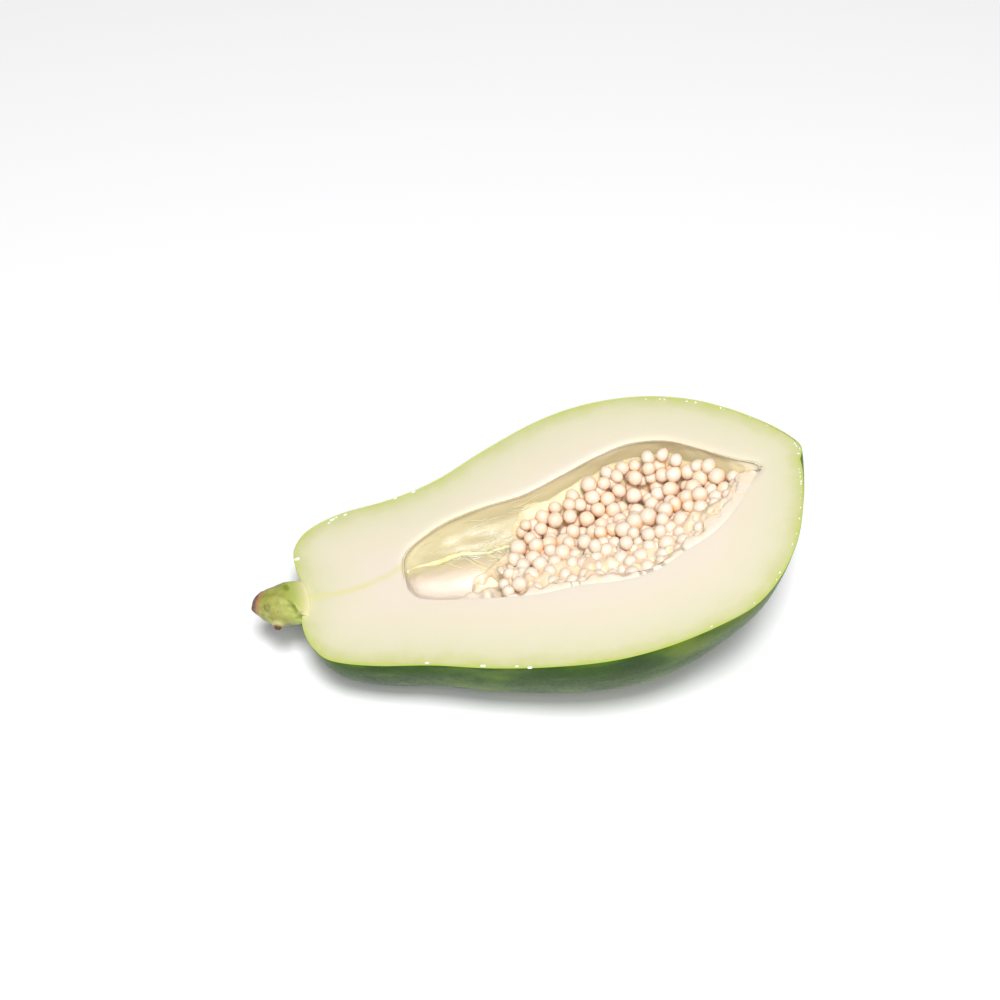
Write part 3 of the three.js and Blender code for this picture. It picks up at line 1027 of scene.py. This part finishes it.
def flesh_material():
    material = new_material("cut_flesh", Roughness=0.42, Subsurface_Weight=0.4,
                            Subsurface_Scale=0.0015, Subsurface_Radius=(1, 0.85, 0.6))
    wander = noise(material, 0.12, 4)
    rim = math(material, "ADD", "rim", map_range(material, wander, 0.3, 0.7, -1, 1))
    base = ramp(material, math(material, "DIVIDE", rim, 30), {
        0: (190, 194, 120), 0.025: (194, 196, 131), 0.05: (196, 197, 141),
        0.09: (199, 199, 150), 0.14: (204, 202, 161), 0.21: (210, 206, 172),
        0.32: (213, 208, 180), 0.5: (217, 210, 186), 0.75: (220, 211, 189),
        1: (222, 211, 195),
    })
    base = tint(material, base, "vein", (0, 2.2), (0.6, 0), (214, 206, 134))
    base = tint(material, base, "joint", (0.1, 0.9), (0, 0.8), (214, 209, 152))
    # The far wall's own beige, with painted light at the top where the rim shades it, and painted
    # shade that darkens it deeper in the cavity
    far_wall_with_painted_shading = ramp(material, "deep", {
        0: (248, 241, 214), 0.22: (226, 216, 178), 0.5: (196, 185, 146), 0.9: (180, 168, 130),
    })
    inside = mix(material, "bowl", far_wall_with_painted_shading, (223, 210, 197))
    base = mix(material, "wall", base, inside)
    finish_surface(material, base, noise(material, 1.2, 4), (0.34, 0.5), 0.15, 0.0003)
    return material


def seed_material():
    material = new_material("wet_seed", Roughness=0.34, Subsurface_Weight=0.75,
                            Subsurface_Scale=0.0028, Subsurface_Radius=(1, 0.85, 0.7))
    # Painted shade, with the root's own peach: towards orange where a seed comes near others, at its
    # rooted end and deeper in the cavity, and less on the near side
    seed_crevice_shade_and_root_tint = map_range(material, "gap", 0.2, 3, 1, 0)
    for value, *span in (("root", -0.6, 1, 1, 0.15), ("deep", 0, 1, 0.25, 1),
                         ("near", 0, 1, 1, 0.45)):
        seed_crevice_shade_and_root_tint = math(material, "MULTIPLY", seed_crevice_shade_and_root_tint, map_range(material, value, *span))
    base = ramp(material, "tint", {
        0: (235, 216, 197), 0.5: (234, 211, 187), 1: (237, 222, 208),
    })
    base = mix(material, "near", base, (231, 214, 196))
    feed(material, "Base Color", mix(material, seed_crevice_shade_and_root_tint, base, (238, 172, 106)))
    return material


def lining_material():
    material = new_material("soft_lining", Roughness=0.45, Subsurface_Weight=0.3,
                            Subsurface_Scale=0.002, Subsurface_Radius=(1, 0.9, 0.8))
    fibres = noise(material, 0.8, 5, stretch=(0.4, 1, 1))
    far_side = ramp(material, fibres, {0.35: (232, 206, 166), 0.65: (244, 230, 206)})
    near_side = ramp(material, fibres, {
        0.3: (227, 207, 170), 0.5: (228, 212, 190), 0.7: (232, 219, 201),
    })
    base = mix(material, "near", far_side, near_side)
    # Painted shade, with the tissue's own peach: towards orange close to the seeds, by an amount set
    # by the depth in the cavity and by the side
    lining_crevice_shade_and_tint = map_range(material, "gap", 0, 4, 1, 0)
    lining_crevice_shade_and_tint = math(material, "MULTIPLY", lining_crevice_shade_and_tint, map_range(material, "near", 0, 1, 0.9, 0.45))
    low = math(material, "MAXIMUM", "deep", map_range(material, "near", 0, 1, 0, 0.7))
    base = mix(material, math(material, "MULTIPLY", lining_crevice_shade_and_tint, low), base, (242, 184, 116))
    base = mix(material, "high", (236, 228, 196), base)
    streaks = noise(material, 0.5, 4, stretch=(1, 0.3, 0.3))
    thin = math(material, "ADD", "thin", map_range(material, streaks, 0.35, 0.65, -0.5, 0.5))
    thin = math(material, "MULTIPLY", map_range(material, thin, 0.3, 0.8),
                map_range(material, "gap", 0.5, 3.5))
    wall = mix(material, "bowl", (210, 200, 161), (224, 211, 196))
    feed(material, "Base Color", mix(material, thin, base, wall))
    add_bump(material, fibres, 0.4, 0.0005)
    return material


def stalk_material():
    material = new_material("green_stalk", Roughness=0.5, Subsurface_Weight=0.25,
                            Subsurface_Scale=0.002, Subsurface_Radius=(1, 0.8, 0.3))
    fine = noise(material, 1.4, 4)
    base = ramp(material, noise(material, 0.22, 4), {
        0.32: (134, 138, 54), 0.5: (156, 158, 78), 0.68: (172, 174, 100),
    })
    base = tint(material, base, fine, (0.55, 0.75), (0, 0.3), (120, 128, 50))
    joint = ramp(material, "slope", {
        0.1: (158, 168, 76), 0.45: (174, 186, 96), 0.65: (200, 202, 130),
        0.85: (216, 210, 160), 1: (220, 212, 174),
    })
    end = math(material, "ADD", "end", map_range(material, fine, 0.3, 0.7, -0.5, 0.5))
    for value, span, shares, colour in (
        ("slope", (0, 0.4), (0, 1), joint),
        (end, (14.4, 15.8), (0, 1), (168, 128, 78)),
        (end, (16.2, 18), (0, 1), (96, 66, 46)),
        ("ring", (1, 2.4), (0.5, 0), (104, 96, 38)),
        ("ring", (0.3, 0.9), (0.6, 0), (160, 158, 84)),
        ("marks", (0.3, 0.8), (0, 0.7), (134, 122, 88)),
        # darker down the groove: painted shade in the crease
        ("groove", (0, 2.2), (0.75, 0), (96, 94, 26)),
        ("dent", (0.2, 0.8), (0, 0.8), (112, 130, 34)),
        ("knob", (2.2, 3.2), (0.7, 0), (190, 178, 130)),
        ("knob", (1.3, 2.1), (1, 0), (92, 56, 26)),
    ):
        base = tint(material, base, value, span, shares, colour)
    finish_surface(material, base, fine, (0.42, 0.62), 0.35, 0.0004)
    return material


# The camera: how far it looks down and turns, its lens and distance, and the point that it aims
# at, by x along the fruit and by shifts to the right and up in the picture
CAMERA_TILT = radians(50)
CAMERA_TURN = radians(10.12)
CAMERA_LENS = 70
CAMERA_DISTANCE = 766.1
AIM_X = 102.5
AIM_ASIDE = (-20.06, 11.86)

# The studio, in metres: half the floor's width, and each light's place, size and power
FLOOR_HALF = 3.0
LIGHTS = {
    "key": ((-0.11, -0.9, 2.3), (0.55, 0.55), 60),
    "front": ((-0.23, -1.29, 1.7), (0.9, 0.6), 18),
}
LIGHT_AIM = Vector((0, 0, 0.04))
SURROUND_LIGHT = 0.12


def add_camera():
    tilt, turn = CAMERA_TILT, CAMERA_TURN
    forward = Vector((sin(turn) * cos(tilt), cos(turn) * cos(tilt), -sin(tilt)))
    right = Vector((cos(turn), -sin(turn), 0))
    up = right.cross(forward)
    aim = Vector(resting([AIM_X, 0, 0]))
    aim += (right * AIM_ASIDE[0] + up * AIM_ASIDE[1]) * MM
    data = bpy.data.cameras.new("camera")
    data.lens = CAMERA_LENS
    data.clip_start = 0.01
    camera = bpy.data.objects.new("camera", data)
    facing = Matrix((right, up, -forward)).transposed().to_4x4()
    camera.matrix_world = Matrix.Translation(aim - forward * CAMERA_DISTANCE * MM) @ facing
    bpy.context.scene.collection.objects.link(camera)
    bpy.context.scene.camera = camera


def add_area_light(name, place, size, power):
    data = bpy.data.lights.new(name, "AREA")
    data.shape = "RECTANGLE"
    data.size, data.size_y = size
    data.energy = power
    light = bpy.data.objects.new(name, data)
    light.location = place
    light.rotation_euler = (LIGHT_AIM - Vector(place)).to_track_quat("-Z", "Y").to_euler()
    bpy.context.scene.collection.objects.link(light)


def add_studio():
    mesh = bpy.data.meshes.new("floor")
    corners = [(x * FLOOR_HALF, y * FLOOR_HALF, 0) for x, y in ((-1, -1), (1, -1), (1, 1), (-1, 1))]
    mesh.from_pydata(corners, [], [(0, 1, 2, 3)])
    floor = bpy.data.objects.new("floor", mesh)
    bpy.context.scene.collection.objects.link(floor)
    dress(floor, new_material("pale_floor", Roughness=0.9, Base_Color=(0.86, 0.86, 0.87, 1)))
    world = bpy.data.worlds.new("studio")
    world.use_nodes = True
    background = world.node_tree.nodes["Background"]
    background.inputs["Color"].default_value = (1, 1, 1, 1)
    background.inputs["Strength"].default_value = SURROUND_LIGHT
    bpy.context.scene.world = world
    for name, (place, size, power) in LIGHTS.items():
        add_area_light(name, place, size, power)
    bpy.context.scene.view_settings.view_transform = "Standard"


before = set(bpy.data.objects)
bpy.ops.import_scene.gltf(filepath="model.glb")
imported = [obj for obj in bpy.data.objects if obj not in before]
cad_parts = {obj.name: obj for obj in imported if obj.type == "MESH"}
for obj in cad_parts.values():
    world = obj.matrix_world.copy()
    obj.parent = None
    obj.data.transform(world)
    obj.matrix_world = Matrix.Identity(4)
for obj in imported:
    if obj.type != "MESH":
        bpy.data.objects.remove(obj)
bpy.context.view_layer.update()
add_camera()
add_studio()
skin_outer, skin_inner = skin_surfaces()
dress(make_skin(skin_outer, skin_inner), skin_material())
dress(make_flesh(skin_inner), flesh_material())
seeds, seed_centres, seed_radii = make_seeds()
dress(seeds, seed_material())
tissue = lining_material()
dress(make_lining(seed_centres, seed_radii), tissue)
dress(make_sacs(), tissue)
dress(make_strands(), strand_material())
dress(make_latex(rim_loop(skin_inner)), latex_material())
dress(make_stalk(), stalk_material())
